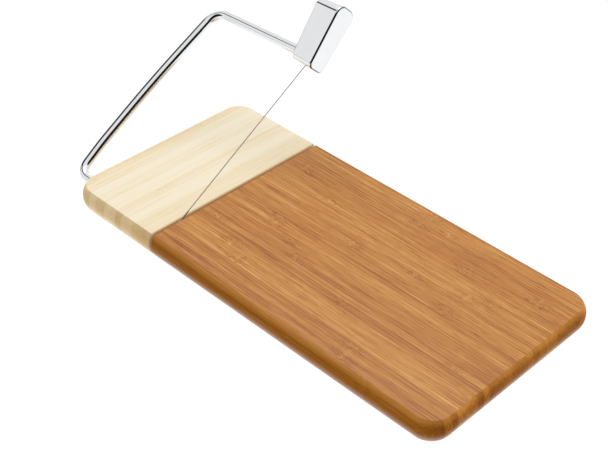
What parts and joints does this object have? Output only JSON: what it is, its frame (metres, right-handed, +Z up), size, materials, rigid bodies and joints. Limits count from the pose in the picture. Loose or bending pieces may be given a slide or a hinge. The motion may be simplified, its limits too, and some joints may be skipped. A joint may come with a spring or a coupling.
{
  "type": "cheese wire cutter",
  "caption": "Two-tone bamboo cheese board with a slot and a hinged chrome bow that pulls a taut steel wire down through the cheese.",
  "frame": {"origin": "the middle of the board's length and width, on its flat top face, where the cheese stands", "axes": "+X along the board towards its dark end, +Y towards the long side that the handle comes down beside, +Z up"},
  "size_m": [0.3238, 0.1714, 0.1252],
  "materials": {
    "light_bamboo": "natural bamboo, oiled satin",
    "dark_bamboo": "carbonised bamboo, oiled satin",
    "dowel_wood": "plain",
    "screw_steel": "plain",
    "foot_rubber": "matte",
    "bow_chrome": "polished",
    "wire_steel": "drawn stainless wire",
    "ferrule_brass": "crimped",
    "handle_chrome": "polished"
  },
  "bodies": {
    "base": {"light_board": "light_bamboo", "dark_board": "dark_bamboo", "joint_dowels": "dowel_wood", "foot_screws": "screw_steel", "foot_front_left": "foot_rubber", "foot_front_right": "foot_rubber", "foot_back_left": "foot_rubber", "foot_back_right": "foot_rubber"},
    "bow": {"bow_rod": "bow_chrome", "cutting_wire": "wire_steel", "wire_ferrule": "ferrule_brass", "handle_body": "handle_chrome", "handle_cap": "handle_chrome", "handle_set_screw": "screw_steel"}
  },
  "joints": [
    {"name": "bow_hinge", "type": "hinge", "parent": "base", "child": "bow", "pos_m": [-0.0759, -0.0581, -0.00685], "axis": [1, 0, 0], "range_deg": [-31.8, 147]}
  ]
}
